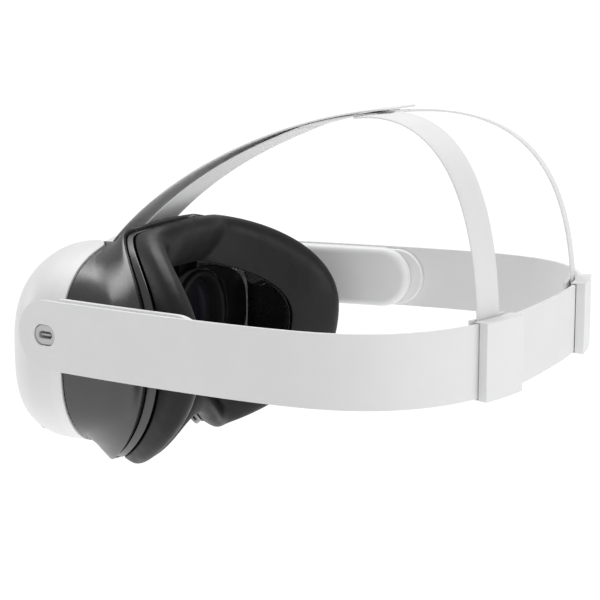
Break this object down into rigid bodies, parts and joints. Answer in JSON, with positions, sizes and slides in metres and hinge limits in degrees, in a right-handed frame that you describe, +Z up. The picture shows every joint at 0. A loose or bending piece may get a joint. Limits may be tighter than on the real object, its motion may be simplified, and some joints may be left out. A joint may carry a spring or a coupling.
{
  "type": "vr headset",
  "caption": "Virtual reality headset: curved visor with sliding lenses and a foam face seal, tilting side arms, a rear band and a forked crown strap.",
  "frame": {"origin": "middle of the opening for the head, at the height of the arm pivots", "axes": "+X to the wearer's left, the visor faces -Y and the rear of the head is +Y, +Z up"},
  "size_m": [0.2126, 0.2414, 0.1593],
  "materials": {
    "white_plastic": "fine satin moulded shell, white",
    "white_strap": "smooth woven elastic webbing, white",
    "dark_plastic": "satin dark grey moulding",
    "black_plastic": "matt black moulding",
    "dark_foam": "soft dark grey skinned foam",
    "lens_glass": "dark glossy optical face",
    "steel": "bright turned steel",
    "circuit_green": "green circuit board",
    "battery_grey": "grey cell wrap",
    "aluminium": "milled aluminium",
    "port_grey": "grey moulded insert"
  },
  "bodies": {
    "visor": {"battery_pack": "battery_grey", "camera_window_lower_left": "lens_glass", "camera_window_lower_right": "lens_glass", "camera_window_upper_left": "lens_glass", "camera_window_upper_right": "lens_glass", "fan_frame": "black_plastic", "front_shell": "white_plastic", "guide_rail_lower": "steel", "guide_rail_upper": "steel", "heat_sink": "aluminium", "lens_plate": "black_plastic", "main_board": "circuit_green", "pinion_pin": "steel", "pivot_bush_left": "dark_plastic", "pivot_bush_right": "dark_plastic", "plate_screw_1": "steel", "plate_screw_2": "steel", "plate_screw_3": "steel", "plate_screw_4": "steel", "rear_housing": "dark_plastic", "seam_gasket": "black_plastic", "strap_anchor": "steel", "tracking_camera_lower_left": "black_plastic", "tracking_camera_lower_right": "black_plastic", "tracking_camera_upper_left": "black_plastic", "tracking_camera_upper_right": "black_plastic", "wear_sensor": "lens_glass"},
    "strap": {"arm_core_left": "white_plastic", "arm_core_right": "white_plastic", "arm_cover_left": "white_plastic", "arm_cover_right": "white_plastic", "speaker_left": "black_plastic", "speaker_right": "black_plastic", "pivot_pin_left": "steel", "pivot_pin_right": "steel", "band_keeper_left": "white_plastic", "band_keeper_right": "white_plastic", "port_shell": "port_grey", "port_tongue": "black_plastic", "strap_band": "white_strap", "crown_strap": "white_strap", "front_strap_upper": "white_strap", "front_strap_lower": "white_strap"},
    "lens_group_left": {"lens_carrier_left": "black_plastic", "lens_left": "lens_glass", "display_left": "lens_glass", "rack_left": "white_plastic"},
    "lens_group_right": {"lens_carrier_right": "black_plastic", "lens_right": "lens_glass", "display_right": "lens_glass", "rack_right": "white_plastic"},
    "gear": {"ipd_pinion": "white_plastic"},
    "fan": {"fan_rotor": "black_plastic"},
    "face_interface": {"interface_frame": "dark_plastic", "face_cushion": "dark_foam"},
    "power_key": {"power_button": "white_plastic"},
    "volume_up_key": {"volume_up_button": "white_plastic"},
    "volume_down_key": {"volume_down_button": "white_plastic"}
  },
  "joints": [
    {"name": "strap_tilt", "type": "hinge", "parent": "visor", "child": "strap", "pos_m": [0, -0.08, 0], "axis": [1, 0, 0], "range_deg": [-8, 20], "deforming": ["front_strap_upper", "front_strap_lower"]},
    {"name": "lens_shift_left", "type": "slide", "parent": "visor", "child": "lens_group_left", "axis": [1, 0, 0], "range_m": [-0.003, 0.003]},
    {"name": "lens_shift_right", "type": "slide", "parent": "visor", "child": "lens_group_right", "axis": [1, 0, 0], "range_m": [-0.003, 0.003]},
    {"name": "gear_spin", "type": "hinge", "parent": "visor", "child": "gear", "pos_m": [0, -0.09865, -0.044], "axis": [0, 1, 0], "range_deg": [-43, 43]},
    {"name": "fan_spin", "type": "hinge", "parent": "visor", "child": "fan", "pos_m": [0, -0.117, -0.006], "axis": [0, 1, 0], "continuous": true},
    {"name": "interface_depth", "type": "slide", "parent": "visor", "child": "face_interface", "axis": [0, 1, 0], "range_m": [0, 0.006]},
    {"name": "power_press", "type": "slide", "parent": "visor", "child": "power_key", "axis": [1, 0, 0], "range_m": [0, 0.0008], "stiffness_N_per_m": 400, "springref_m": -0.0004},
    {"name": "volume_up_press", "type": "slide", "parent": "visor", "child": "volume_up_key", "axis": [0, 0, 1], "range_m": [0, 0.0006], "stiffness_N_per_m": 400, "springref_m": -0.0004},
    {"name": "volume_down_press", "type": "slide", "parent": "visor", "child": "volume_down_key", "axis": [0, 0, 1], "range_m": [0, 0.0006], "stiffness_N_per_m": 400, "springref_m": -0.0004}
  ],
  "couplings": [
    {"joint": "lens_shift_right", "follows": "lens_shift_left", "ratio": -1},
    {"joint": "gear_spin", "follows": "lens_shift_left", "rad_per_m": 250}
  ]
}
